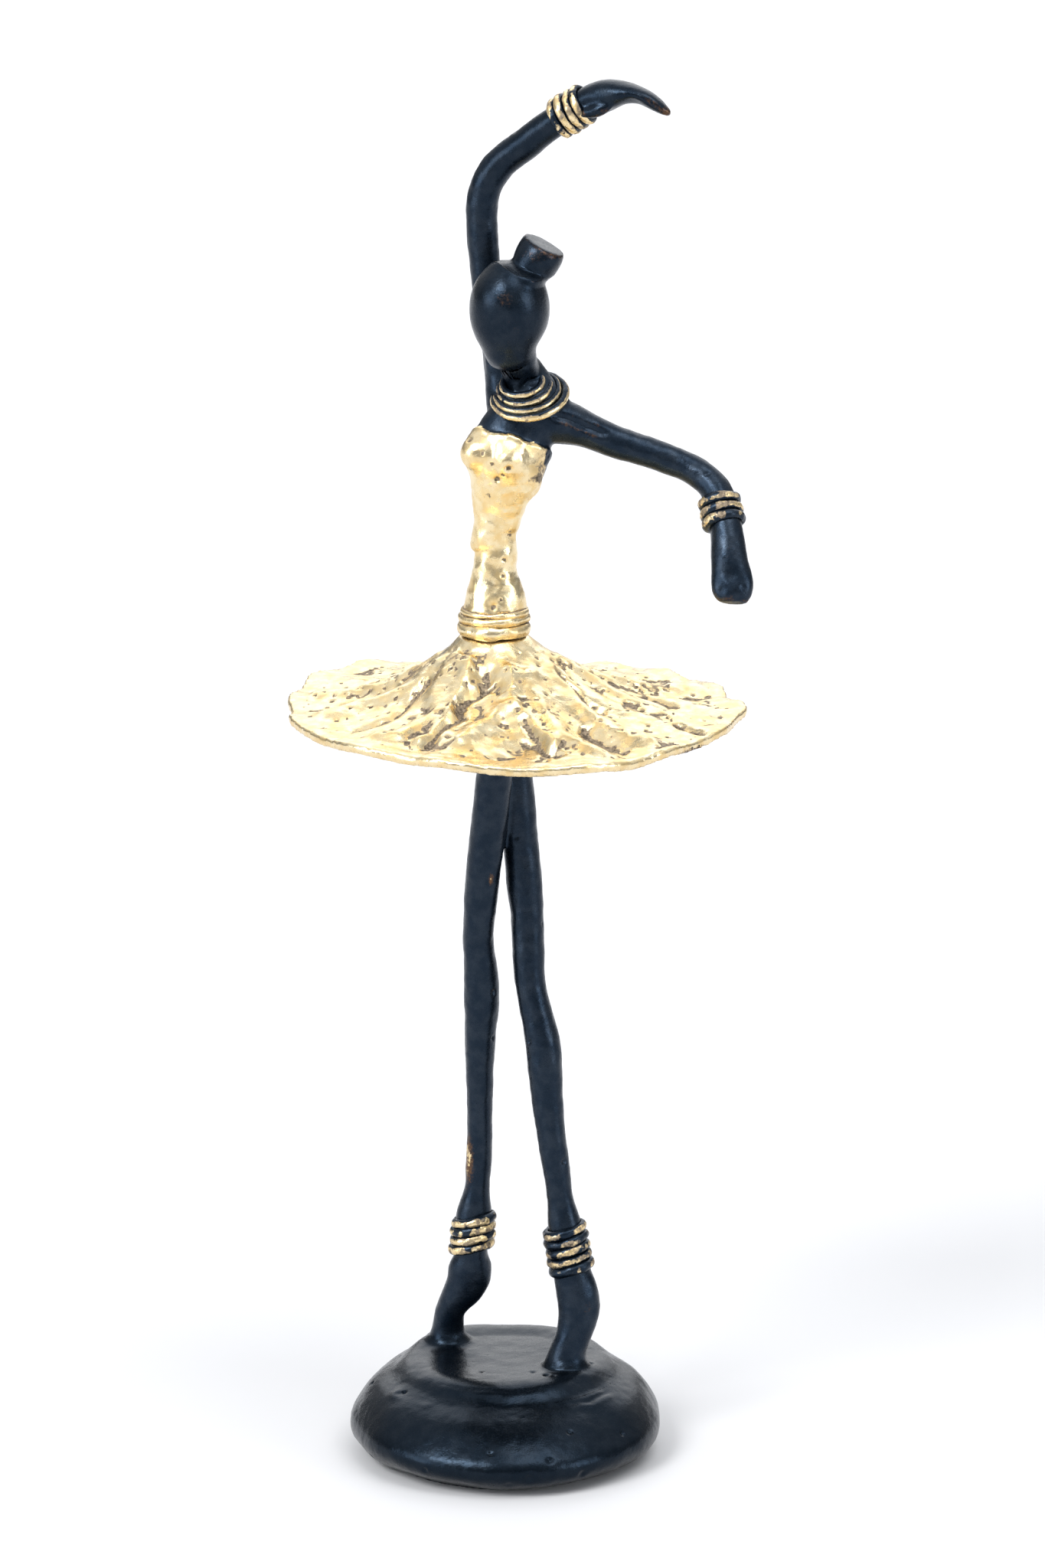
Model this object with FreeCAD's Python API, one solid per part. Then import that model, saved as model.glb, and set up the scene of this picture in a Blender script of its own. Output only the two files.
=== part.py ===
"""A cast bronze dancer on her toes, 400 mm tall, as the castings it is put together from.

Millimetres, +Z up. The front of the figure is -Y. She stands on a domed, hollow base.
Each casting is a solid of its own: limbs are lofts through sections, wound bands are rings
cut to the limb that they lie on, and castings meet on flat faces with a round peg in a socket.
Sizes are laid out about the middle of the base and moved at the end, so that the origin is
the middle of the overall footprint at floor level.
"""

import FreeCAD
import Part

import math
import os

FRAME_SHIFT = FreeCAD.Vector(-3.75, -2.65, 0)  # from the middle of the base to the origin

# Base: a dome with a rolled-under edge, hollow below, and a round step that carries the feet.
REST_RADIUS = 35.0
DOME_RADIUS = 45.4
STEP_FLOOR = 20.5
STEP_TOP = 26.0
STEP_RADIUS = 31.5
STEP_CENTRE_Y = 7.0
CEILING = 16.0  # underside of the dome, inside the hollow
WALL = 4.2

# Tutu skirt: a folded shell.
WAIST_HEIGHT = 243.0
SKIRT_DROP = 23.0
SKIRT_WAIST_RADIUS = 9.4
SKIRT_BORE = 6.6  # radius of the boss that the skirt sits on
SKIRT_BORE_HEIGHT = 5.0
SKIRT_RIM_RADIUS = 63.6
SKIRT_THICKNESS = 2.6
SKIRT_STEEPNESS = 2.4
SKIRT_LIFT = 4.0  # the rim is pushed up at the back on the right-hand side of the figure
SKIRT_LIFT_TURN = 2.4
SKIRT_SECTIONS = 96
SKIRT_STEPS = 9
SKIRT_RIDGES = [4, 23, 47, 64, 85, 108, 131, 150, 172, 194, 229, 252, 290, 315, 338]  # degrees from +X

# Stations: (x, y, z, half width across, half depth front to back), from the floor upwards
# or from the shoulder outwards. A station with one radius is round.
RIGHT_LEG = [
    (-17.0, 19.0, STEP_TOP, 7.0, 6.6),
    (-17.0, 19.0, 28.5, 5.4, 5.2),
    (-16.9, 18.4, 32.0, 4.6, 4.5),
    (-16.2, 17.2, 36.0, 4.4, 4.3),
    (-14.4, 15.8, 40.3, 5.0, 4.4),
    (-12.0, 14.8, 44.2, 6.0, 4.7),
    (-10.6, 14.2, 48.2, 6.4, 5.0),
    (-10.1, 13.8, 52.5, 5.7, 5.2),
    (-10.0, 13.6, 58.0, 5.0, 5.0),
    (-9.6, 13.6, 64.0, 5.0, 5.0),
    (-8.8, 13.6, 69.0, 4.9, 4.7),
    (-8.4, 13.4, 73.5, 3.9, 3.9),
    (-7.8, 13.0, 83.0, 3.8, 3.8),
    (-7.4, 12.4, 97.0, 3.7, 3.9),
    (-7.5, 11.4, 112.0, 4.1, 4.3),
    (-7.1, 9.8, 126.0, 4.8, 4.8),
    (-6.8, 8.2, 137.0, 5.3, 5.0),
    (-7.6, 6.8, 149.0, 4.5, 4.6),
    (-7.4, 5.4, 160.0, 4.7, 4.8),
    (-6.0, 3.6, 175.0, 5.1, 5.1),
    (-3.4, 1.0, 199.0, 5.3, 5.3),
    (-1.8, -0.4, 214.0, 5.3, 5.3),
]
LEFT_LEG = [
    (18.0, -3.5, STEP_TOP, 6.8, 6.4),
    (18.0, -3.5, 29.5, 5.6, 5.4),
    (19.0, -3.5, 33.5, 5.1, 4.9),
    (20.5, -3.3, 38.0, 5.4, 4.7),
    (21.3, -3.0, 42.3, 6.0, 4.9),
    (21.2, -2.6, 46.5, 6.2, 5.1),
    (20.4, -2.2, 50.5, 6.0, 5.2),
    (19.4, -1.8, 55.0, 5.5, 5.1),
    (18.6, -1.5, 60.0, 5.1, 5.0),
    (17.6, -1.2, 66.0, 4.9, 4.9),
    (16.8, -1.0, 71.0, 4.7, 4.6),
    (16.0, -1.0, 76.0, 3.9, 3.9),
    (14.8, -0.6, 85.0, 4.0, 4.0),
    (13.2, 0.2, 97.0, 4.3, 4.3),
    (12.0, 1.0, 108.0, 4.75, 4.6),
    (11.2, 1.7, 119.0, 5.1, 4.9),
    (9.8, 2.8, 128.0, 4.8, 4.8),
    (7.5, 4.0, 138.0, 4.4, 4.5),
    (6.7, 5.4, 149.0, 4.6, 4.7),
    (6.3, 6.6, 160.0, 4.9, 4.9),
    (5.2, 7.8, 174.0, 5.2, 5.1),
    (2.9, 9.4, 198.0, 5.2, 5.2),
    (1.6, 10.5, 214.0, 5.2, 5.2),
]
RIGHT_ANKLE, LEFT_ANKLE = 8, 8  # the station where foot and leg meet, under the anklets

TORSO = [
    (-0.2, 4.9, 214.0, 6.4, 10.4),
    (-1.4, 4.6, 222.0, 6.8, 9.0),
    (-2.4, 4.2, 231.0, 6.8, 7.4),
    (-3.1, 4.0, WAIST_HEIGHT - 6.0, 6.2, 6.2),
    (-3.1, 4.0, WAIST_HEIGHT, 7.4, 6.8),
    (-2.9, 4.0, 249.0, 8.6, 7.4),
    (-2.7, 4.0, 253.5, 8.2, 7.0),
    (-3.1, 4.0, 258.5, 6.8, 6.0),
    (-2.9, 4.0, 263.5, 5.9, 5.2),
    (-2.6, 4.0, 268.7, 5.5, 4.8),
    (-2.6, 3.9, 273.0, 5.8, 5.1),
    (-1.9, 3.7, 280.0, 7.1, 6.0),
    (-0.6, 3.5, 286.0, 9.0, 7.2),
    (0.9, 3.4, 291.5, 11.5, 7.8),
    (1.6, 3.6, 296.5, 12.1, 7.8),
    (2.8, 4.0, 300.5, 10.4, 7.4),
    (4.4, 4.6, 304.5, 9.4, 7.6),
    (6.8, 5.4, 309.0, 10.4, 8.0),
    (6.2, 6.4, 313.5, 7.8, 6.6),
    (4.6, 4.8, 317.5, 5.0, 4.6),
    (3.9, 3.6, 320.0, 4.2, 4.2),
    (3.4, 2.4, 322.4, 4.5, 4.9),
    (2.5, 1.6, 325.4, 7.0, 7.6),
    (1.6, 1.1, 330.0, 9.8, 10.3),
    (1.4, 1.1, 334.5, 11.1, 11.4),
    (1.3, 1.1, 339.0, 11.2, 11.6),
    (1.3, 1.2, 343.5, 10.1, 10.6),
    (1.2, 1.3, 347.5, 7.7, 8.2),
    (1.1, 1.4, 350.0, 4.6, 5.0),
    (1.0, 1.5, 351.0, 1.8, 2.0),
]
HIPS, WAIST, WAISTLINE, NECK_ROOT, CHIN = 3, 4, 9, 19, 21  # stations where the castings meet
BREASTS = [(-7.6, -0.8, 296.4, 5.0), (0.4, -2.6, 295.2, 5.8)]
NECKLINE_POINT = FreeCAD.Vector(2.9, -5.0, 301.8)
NECKLINE_NORMAL = FreeCAD.Vector(0.33, 0.30, 1.0)

RIGHT_ARM = [
    (1.5, 4.8, 299.0, 5.0),
    (0.0, 6.8, 304.5, 4.8),
    (-0.7, 9.0, 310.0, 4.6),
    (-1.3, 11.4, 316.5, 4.4),
    (-2.5, 13.8, 324.5, 4.3),
    (-4.3, 15.6, 336.0, 4.4),
    (-5.7, 16.6, 349.0, 4.4),
    (-6.5, 17.0, 360.0, 4.5),
    (-5.0, 16.7, 369.6, 4.6),
    (-0.3, 15.4, 376.6, 4.5),
    (4.7, 13.8, 380.6, 4.5),
    (10.1, 11.6, 385.1, 4.4),
    (15.0, 9.6, 389.0, 4.2),
    (19.5, 7.8, 392.2, 4.2),
    (23.8, 6.2, 394.6, 4.5, 4.8),
    (28.0, 4.8, 396.2, 4.6, 5.2),
    (31.6, 3.4, 397.1, 3.7, 5.3),
    (35.6, 1.8, 397.2, 2.9, 5.0),
    (39.8, 0.2, 395.8, 2.3, 4.2),
    (43.6, -1.4, 393.6, 1.7, 3.0),
    (46.0, -2.4, 392.0, 0.8, 1.4),
]
RIGHT_SHOULDER, RIGHT_WRIST = 3, 13
RIGHT_THUMB = [
    (20.5, 3.6, 391.6, 1.8),
    (24.0, 1.6, 392.2, 2.0),
    (27.4, 0.4, 393.2, 1.7),
    (29.8, 0.2, 394.4, 0.8),
]

LEFT_ARM = [
    (6.0, 4.6, 305.0, 6.6),
    (12.5, 4.8, 304.6, 6.7),
    (18.4, 4.8, 303.4, 6.0),
    (24.0, 4.5, 301.4, 5.0),
    (30.4, 4.2, 298.9, 4.6),
    (39.0, 3.4, 296.2, 4.4),
    (48.0, 2.0, 293.2, 4.2),
    (53.0, 0.4, 291.1, 4.2),
    (57.0, -1.8, 288.6, 4.3),
    (59.9, -4.6, 285.3, 4.4),
    (61.2, -7.0, 282.4, 4.5),
    (61.8, -9.4, 279.4, 4.5, 4.4),
    (62.3, -12.0, 275.8, 4.6, 4.4),
    (62.7, -14.4, 271.8, 5.0, 4.3),
    (63.1, -16.6, 267.6, 5.5, 4.1),
    (63.5, -18.6, 263.6, 5.9, 3.8),
    (63.8, -20.4, 260.0, 5.6, 3.2),
    (63.8, -21.6, 257.8, 3.8, 2.0),
]
LEFT_SHOULDER, LEFT_WRIST = 3, 11

BUN = [
    (4.6, 2.0, 343.6, 5.2),
    (6.6, 2.7, 347.2, 5.3),
    (8.4, 3.3, 350.4, 5.6),
    (10.0, 3.8, 353.2, 6.2),
    (10.9, 4.1, 354.8, 5.6),
]

# Wound bands: (centre, axis, radius to the middle of the wire, wire radius).
WAIST_BANDS = [
    ((-3.2, 4.0, 245.0), (0.0, 0.0, 1), 8.4, 1.9),
    ((-3.0, 4.0, 248.1), (0.0, 0.0, 1), 8.8, 1.2),
    ((-2.9, 4.0, 250.0), (0.0, 0.0, 1), 8.9, 0.7),
]
COLLAR_AXIS = FreeCAD.Vector(-0.14, -0.44, 0.88)
COLLAR_RINGS = [
    ((4.9, 3.2, 315.4), 5.6, 0.95),
    ((5.6, 3.4, 313.9), 7.1, 1.0),
    ((6.4, 3.7, 312.8), 8.7, 1.0),
    ((7.1, 4.0, 311.6), 10.1, 1.05),
]
# Wrappings: (centre of the first turn, step to the next, radius, wire radius, turns).
RIGHT_BRACELET = ((15.6, 9.4, 389.4), (2.1, -0.8, 1.3), 4.8, 1.2, 4)
LEFT_BRACELET = ((60.3, -6.2, 283.0), (0.6, -1.6, -2.3), 4.8, 1.45, 3)
RIGHT_ANKLET = ((-10.0, 13.6, 57.6), (0.25, -0.2, 2.75), 5.4, 1.4, 4)
LEFT_ANKLET = ((19.2, -1.7, 56.2), (-0.5, 0.1, 2.75), 5.3, 1.4, 5)
ANKLET_AXES = {"right": FreeCAD.Vector(-0.2, 0.1, 1), "left": FreeCAD.Vector(-0.3, 0.06, 1)}

SECTION_POINTS = 12
SECTION_PITCH = 5.3
KEEP = 60.0  # half size of a block that keeps one side of a plane


def vector(point):
    return FreeCAD.Vector(*point[:3])


def section(centre, along, half_width, half_depth):
    """A closed round wire square to a direction, its depth kept as near as can be to Y."""
    along = FreeCAD.Vector(along).normalize()
    depth = FreeCAD.Vector(0, 1, 0) - along * along.y
    depth.normalize()
    across = depth.cross(along)
    points = []
    for k in range(SECTION_POINTS):
        turn = 2 * math.pi * k / SECTION_POINTS
        points.append(centre + across * (half_width * math.cos(turn)) + depth * (half_depth * math.sin(turn)))
    curve = Part.BSplineCurve()
    curve.interpolate(Points=points, PeriodicFlag=True)
    return Part.Wire([curve.toShape()])


def run(stations, cuts=(), level=()):
    """Solid castings along a limb, which meet at the stations in cuts.

    Sections are spread evenly along the limb, closer where its girth changes fast. They are square
    to the limb, but for the stations in level, which are kept horizontal. Also gives the limb's
    direction at each station.
    """
    marks = [0.0]
    for here, there in zip(stations, stations[1:]):
        girth_change = max(abs(there[3] - here[3]), abs(there[-1] - here[-1]))
        marks.append(marks[-1] + math.hypot((vector(there) - vector(here)).Length, girth_change))
    path, girth = Part.BSplineCurve(), Part.BSplineCurve()
    path.interpolate(Points=[vector(station) for station in stations], Parameters=marks)
    sizes = [FreeCAD.Vector(station[3], station[-1], mark) for station, mark in zip(stations, marks)]
    girth.interpolate(Points=sizes, Parameters=marks)
    up = FreeCAD.Vector(0, 0, 1)
    solids = []
    ends = [0, *cuts, len(stations) - 1]
    for first, last in zip(ends, ends[1:]):
        steps = max(3, round((marks[last] - marks[first]) / SECTION_PITCH))
        wires = []
        for k in range(steps + 1):
            at = marks[first] + (marks[last] - marks[first]) * k / steps
            flat = (k == 0 and first in level) or (k == steps and last in level)
            size = girth.value(at)
            wires.append(section(path.value(at), up if flat else path.tangent(at)[0], size.x, size.y))
        solids.append(Part.makeLoft(wires, True, False))
    return solids, [path.tangent(mark)[0] for mark in marks]


def peg(centre, along, radius, inside, outside):
    """A round peg that reaches `inside` back into its own casting and `outside` into the next."""
    along = FreeCAD.Vector(along).normalize()
    return Part.makeCylinder(radius, inside + outside, centre - along * inside, along)


def join(owner, other, pin):
    """Adds a peg to its owner and its socket to the other casting."""
    return owner.fuse(pin), other.cut(pin)


def ring(centre, axis, radius, wire, *under):
    """A wound band: a ring of wire pressed onto the castings under it.

    Where a cut comes out unsound, it is tried again with the ring a hair larger and turned.
    """
    for step in range(12):
        whole = Part.makeTorus(radius + 0.06 * step, wire, FreeCAD.Vector(), FreeCAD.Vector(0, 0, 1))
        whole.rotate(FreeCAD.Vector(), FreeCAD.Vector(0, 0, 1), 37 * step)
        whole.Placement = FreeCAD.Placement(
            centre, FreeCAD.Rotation(FreeCAD.Vector(0, 0, 1), axis)
        ).multiply(whole.Placement)
        band = whole
        for casting in under:
            band = band.cut(casting)
            if band.isNull() or not band.Solids:
                break
            band = max(band.Solids, key=lambda solid: solid.Volume)
        if not band.isNull() and band.isValid() and 0.1 * whole.Volume < band.Volume < 0.95 * whole.Volume:
            return band
    raise ValueError(f"no sound ring at {centre}")


def wound(first, step, radius, wire, count, axis, *under):
    """Turns of one wrapping, as separate rings a step apart."""
    return [ring(vector(first) + vector(step) * k, axis, radius, wire, *under) for k in range(count)]


def half_space(point, normal):
    """A block on the side of a plane that its normal points to."""
    block = Part.makeBox(2 * KEEP, 2 * KEEP, KEEP, FreeCAD.Vector(-KEEP, -KEEP, 0))
    turn = FreeCAD.Rotation(FreeCAD.Vector(0, 0, 1), normal)
    block.Placement = FreeCAD.Placement(point, turn)
    return block


def circle(centre, axis, radius):
    return Part.Wire([Part.Circle(centre, axis, radius).toShape()])


def level_circle(y, z, radius):
    return circle(FreeCAD.Vector(0, y, z), FreeCAD.Vector(0, 0, 1), radius)


def base():
    """The hollow dome and the step on top of it."""
    outside = Part.makeLoft([
        level_circle(0, 0, REST_RADIUS),
        level_circle(0, 3, DOME_RADIUS - 3.6),
        level_circle(0, 9.5, DOME_RADIUS),
        level_circle(1.6, 14, DOME_RADIUS - 2.0),
        level_circle(4.6, 18, DOME_RADIUS - 7.2),
        level_circle(STEP_CENTRE_Y, STEP_FLOOR, STEP_RADIUS + 0.4),
    ], True, False)
    inside = Part.makeLoft([
        level_circle(0, -2, REST_RADIUS - 1.5 * WALL),
        level_circle(0, 3, DOME_RADIUS - 4.4 - WALL),
        level_circle(0, 9, DOME_RADIUS - WALL),
        level_circle(1.6, 13, DOME_RADIUS - 3.4 - WALL),
        level_circle(4.6, CEILING, DOME_RADIUS - 10.6 - WALL),
    ], True, False)
    step = Part.makeLoft([
        level_circle(STEP_CENTRE_Y, STEP_FLOOR, STEP_RADIUS),
        level_circle(STEP_CENTRE_Y, 23.2, STEP_RADIUS - 0.3),
        level_circle(STEP_CENTRE_Y, 25.0, STEP_RADIUS - 1.6),
        level_circle(STEP_CENTRE_Y, STEP_TOP, STEP_RADIUS - 3.4),
    ], True, False)
    return outside.cut(inside), step


def fold(turn):
    """Height of the pleats round the skirt, from 0 in a valley to 1 on a ridge."""
    angle = math.degrees(turn) % 360
    around = [SKIRT_RIDGES[-1] - 360, *SKIRT_RIDGES, SKIRT_RIDGES[0] + 360]
    for before, after in zip(around, around[1:]):
        if angle <= after:
            return (0.5 + 0.5 * math.cos(2 * math.pi * (angle - before) / (after - before))) ** 1.3


def skirt_point(turn, share, below):
    """A point of the skirt's skin at a turn round it, and at a share of the way to the rim."""
    swirl = turn + 0.16 * (1 - share) ** 2
    reach = SKIRT_RIM_RADIUS - 1.6 * math.cos(turn)
    reach += 1.3 * math.sin(3 * turn + 0.6) + 0.9 * math.sin(5 * turn + 2.0)
    start = SKIRT_BORE if below else SKIRT_WAIST_RADIUS
    radius = start + (reach - start) * share + 1.5 * share ** 3 * fold(swirl)
    height = WAIST_HEIGHT - SKIRT_DROP * (1 - (1 - share) ** SKIRT_STEEPNESS)
    height += 2.9 * fold(swirl) * math.sin(math.pi * min(share * 0.8, 0.62)) * share ** 0.4
    height += 1.3 * share ** 2 * math.sin(2 * turn + 0.5)
    height += SKIRT_LIFT * share ** 2 * math.exp(7 * (math.cos(turn - SKIRT_LIFT_TURN) - 1))
    centre_x = TORSO[WAIST][0] + 6.0 * share
    centre_y = TORSO[WAIST][1] - 0.6 * share
    if below:
        height -= SKIRT_THICKNESS + (SKIRT_BORE_HEIGHT - SKIRT_THICKNESS) * (1 - share) ** 8
    return FreeCAD.Vector(centre_x + radius * math.cos(turn), centre_y + radius * math.sin(turn), height)


def skirt():
    """The folded shell, lofted right round through upright slices of its wall."""
    slices = []
    shares = [(k / (SKIRT_STEPS - 1)) ** 1.25 for k in range(SKIRT_STEPS)]
    for k in range(SKIRT_SECTIONS):
        turn = 2 * math.pi * k / SKIRT_SECTIONS
        top = [skirt_point(turn, share, False) for share in shares]
        bottom = [skirt_point(turn, share, True) for share in reversed(shares)]
        upper, lower = Part.BSplineCurve(), Part.BSplineCurve()
        upper.interpolate(Points=top)
        lower.interpolate(Points=bottom)
        brim = FreeCAD.Vector(bottom[-1].x, bottom[-1].y, top[0].z)
        slices.append(Part.Wire([
            upper.toShape(),
            Part.makeLine(top[-1], bottom[0]),
            lower.toShape(),
            Part.makeLine(bottom[-1], brim),
            Part.makeLine(brim, top[0]),
        ]))
    return Part.makeLoft(slices, True, False, True)


def legs(parts):
    """Both feet and legs, with pegs through the base, at the ankles and into the hips."""
    for side, stations, ankle in (("right", RIGHT_LEG, RIGHT_ANKLE), ("left", LEFT_LEG, LEFT_ANKLE)):
        (foot, leg), along = run(stations, cuts=(ankle,), level=(0, len(stations) - 1))
        spec = RIGHT_ANKLET if side == "right" else LEFT_ANKLET
        for k, band in enumerate(wound(*spec, ANKLET_AXES[side], foot, leg)):
            parts[f"{side}_anklet_{k + 1}"] = band
        toe, heel, hip = vector(stations[0]), vector(stations[ankle]), vector(stations[-1])
        down = FreeCAD.Vector(0, 0, -1)
        stem = peg(toe, down, 3.0, 3.0, STEP_TOP - CEILING)
        parts["base_step"] = parts["base_step"].cut(stem)
        parts["base_dome"] = parts["base_dome"].cut(stem)
        rivet = Part.makeCone(4.4, 3.4, 1.6, FreeCAD.Vector(toe.x, toe.y, CEILING), down)
        foot = foot.fuse(stem).fuse(rivet)
        leg, foot = join(leg, foot, peg(heel, along[ankle] * -1, 2.0, 3.0, 5.0))
        leg, parts["hip_block"] = join(leg, parts["hip_block"], peg(hip, down * -1, 2.4, 3.0, 7.0))
        parts[side + "_foot"] = foot
        parts[side + "_leg"] = leg


def torso(parts):
    """Hips, abdomen, bodice, shoulders, neck and head, from one run of sections."""
    up = FreeCAD.Vector(0, 0, 1)
    cuts = (HIPS, WAIST, WAISTLINE, NECK_ROOT, CHIN)
    (hips, hip_top, abdomen, chest, neck, head), _ = run(TORSO, cuts, level=(0, *cuts))
    boss = Part.makeCylinder(SKIRT_BORE, SKIRT_BORE_HEIGHT + 1.0, vector(TORSO[WAIST]), up * -1)
    hips = hips.fuse(boss).removeSplitter()
    above = half_space(NECKLINE_POINT, NECKLINE_NORMAL)
    bodice = chest.cut(above)
    for x, y, z, radius in BREASTS:
        bodice = bodice.fuse(Part.makeSphere(radius, FreeCAD.Vector(x, y, z)).cut(above))
    right_root = run(RIGHT_ARM, cuts=(RIGHT_SHOULDER,))[0][0]
    left_root = run(LEFT_ARM, cuts=(LEFT_SHOULDER,))[0][0]
    yoke = chest.fuse(right_root).fuse(left_root).common(half_space(NECKLINE_POINT, NECKLINE_NORMAL))
    abdomen, hips = join(abdomen, hips, peg(vector(TORSO[WAIST]), up * -1, 4.0, 3.0, 8.0))
    bodice, abdomen = join(bodice, abdomen, peg(vector(TORSO[WAISTLINE]), up * -1, 2.6, 3.0, 8.0))
    yoke, bodice = join(yoke, bodice, peg(NECKLINE_POINT + FreeCAD.Vector(0, 9.4, -2), up * -1, 3.6, 4.0, 6.0))
    neck, head = join(neck, head, peg(vector(TORSO[CHIN]), up, 2.2, 3.0, 8.0))
    neck, yoke = join(neck, yoke, peg(vector(TORSO[NECK_ROOT]), up * -1, 2.0, 3.0, 7.0))
    bun = run(BUN)[0][0].cut(head)
    bun, head = join(bun, head, peg(vector(BUN[1]), vector(BUN[0]) - vector(BUN[1]), 2.0, 3.0, 6.0))
    parts.update(
        hip_block=hips, abdomen=abdomen, bodice=bodice, shoulder_yoke=yoke, neck=neck, head=head, hair_bun=bun
    )


def arms(parts):
    """The raised right arm and the lowered left arm with their hands and bracelets."""
    for side, stations, shoulder, wrist, spec in (
        ("right", RIGHT_ARM, RIGHT_SHOULDER, RIGHT_WRIST, RIGHT_BRACELET),
        ("left", LEFT_ARM, LEFT_SHOULDER, LEFT_WRIST, LEFT_BRACELET),
    ):
        (_, arm, hand), along = run(stations, cuts=(shoulder, wrist))
        for k, band in enumerate(wound(*spec, vector(spec[1]), arm, hand)):
            parts[f"{side}_bracelet_{k + 1}"] = band
        if side == "right":
            hand = hand.fuse(run(RIGHT_THUMB)[0][0]).cut(arm)
            for k in range(spec[-1]):
                hand = hand.cut(parts[f"right_bracelet_{k + 1}"])
        arm = arm.cut(parts["shoulder_yoke"])
        arm, parts["shoulder_yoke"] = join(
            arm, parts["shoulder_yoke"], peg(vector(stations[shoulder]), along[shoulder] * -1, 2.2, 3.0, 5.0)
        )
        hand, arm = join(hand, arm, peg(vector(stations[wrist]), along[wrist] * -1, 1.8, 3.0, 5.0))
        parts[side + "_arm"] = arm
        parts[side + "_hand"] = hand


def bands(parts):
    """The belt round the waist and the collar of rings round the neck."""
    for name, (centre, axis, radius, wire) in zip(("lower", "middle", "upper"), WAIST_BANDS):
        under = (parts["abdomen"],)
        parts[f"waist_band_{name}"] = ring(vector(centre), vector(axis), radius, wire, *under)
    for k, (centre, radius, wire) in enumerate(COLLAR_RINGS):
        under = (parts["shoulder_yoke"], parts["neck"], parts["right_arm"], parts["left_arm"])
        parts[f"collar_ring_{k + 1}"] = ring(vector(centre), COLLAR_AXIS, radius, wire, *under)


def main():
    parts = {}
    parts["base_dome"], parts["base_step"] = base()
    torso(parts)
    legs(parts)
    arms(parts)
    parts["tutu_skirt"] = skirt()
    bands(parts)
    os.makedirs("parts", exist_ok=True)
    for name in sorted(parts):
        shape = parts[name].copy()
        shape.translate(FRAME_SHIFT)
        shape.exportStep(f"parts/{name}.step")
        print(f"{name:20s} solids {len(shape.Solids)} valid {shape.isValid()} volume {shape.Volume:9.1f}")


main()
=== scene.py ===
"""A cast bronze dancer on a domed base, sculpted over the castings of the frame.

The castings that melt into each other are remeshed as one skin, modelled with soft facets, folds,
pits and worn places, and cut again into one piece per casting. Wound wires, the belt and the skirt
are modelled one by one. Work is in millimetres about the middle of the base, with +Z up and the
front at -Y, and each piece goes back to the frame's metres at the end. "Right" and "left" in names
are the dancer's own.
"""

import math

import bmesh
import bpy
import numpy as np
from mathutils.bvhtree import BVHTree
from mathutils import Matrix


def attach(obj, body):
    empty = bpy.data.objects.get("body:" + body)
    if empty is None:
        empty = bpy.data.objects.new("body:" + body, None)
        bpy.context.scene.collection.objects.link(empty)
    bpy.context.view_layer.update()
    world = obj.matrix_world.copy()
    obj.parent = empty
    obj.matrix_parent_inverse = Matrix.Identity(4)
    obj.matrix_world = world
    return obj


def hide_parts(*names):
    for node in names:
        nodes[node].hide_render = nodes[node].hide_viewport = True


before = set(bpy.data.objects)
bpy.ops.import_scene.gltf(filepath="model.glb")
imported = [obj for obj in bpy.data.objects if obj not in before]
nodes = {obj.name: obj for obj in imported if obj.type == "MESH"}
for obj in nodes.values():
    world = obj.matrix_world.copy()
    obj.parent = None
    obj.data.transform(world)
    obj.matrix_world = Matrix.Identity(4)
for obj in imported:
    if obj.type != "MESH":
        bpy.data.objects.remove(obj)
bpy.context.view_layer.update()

MM_PER_METRE = 1000
METRES_PER_MM = 0.001
TO_FRAME = np.array((-3.75, -2.65, 0.0))  # from the middle of the base to the frame's origin

UPPER = [
    "abdomen", "bodice", "shoulder_yoke", "neck", "head", "hair_bun",
    "right_arm", "left_arm", "right_hand", "left_hand",
]
LOWER = ["base_dome", "base_step", "right_foot", "left_foot", "right_leg", "left_leg", "hip_block"]
ANKLETS = [f"right_anklet_{k}" for k in range(1, 5)] + [f"left_anklet_{k}" for k in range(1, 6)]
BRACELETS = [f"right_bracelet_{k}" for k in range(1, 5)]
BRACELETS += [f"left_bracelet_{k}" for k in range(1, 4)]
COLLAR = [f"collar_ring_{k}" for k in range(1, 5)]
BELT = ["waist_band_lower", "waist_band_middle", "waist_band_upper"]

# Size of the remesh in mm, and the rounds of softening after it.
UPPER_VOXEL, UPPER_ROUNDS = 0.5, 7
LOWER_VOXEL, LOWER_ROUNDS = 0.55, 6
SKIRT_VOXEL, SKIRT_ROUNDS = 0.64, 3
BELT_VOXEL, BELT_ROUNDS = 0.32, 3
WIRE_VOXEL, WIRE_ROUNDS = 0.28, 3

NECKLINE_POINT = np.array((2.9, -5.0, 301.8))
NECKLINE_TILT = np.array((0.33, 0.30, 1.0))
NECKLINE_NORMAL = NECKLINE_TILT / np.linalg.norm(NECKLINE_TILT)
BUN_X, BUN_Y = 9.0, 3.6
FEET = ((-17.0, 19.0), (18.0, -3.5))  # where the feet meet the base
FLAT_BELOW = 0.35  # the underside is flat up to here, as the rest face
CHIN_Z, CHIN_FILL, BUST_SWELL = 321.0, 1.7, 0.45
POLISH_STEP, POLISH_LIP = 0.45, 0.25  # how far the polished metal and its edge stand proud
HEAD_RIDGE, HEAD_RIDGE_X, HEAD_RIDGE_WIDTH = 0.32, 1.2, 1.3
ARMPIT_DEPTH = 1.3

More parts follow.
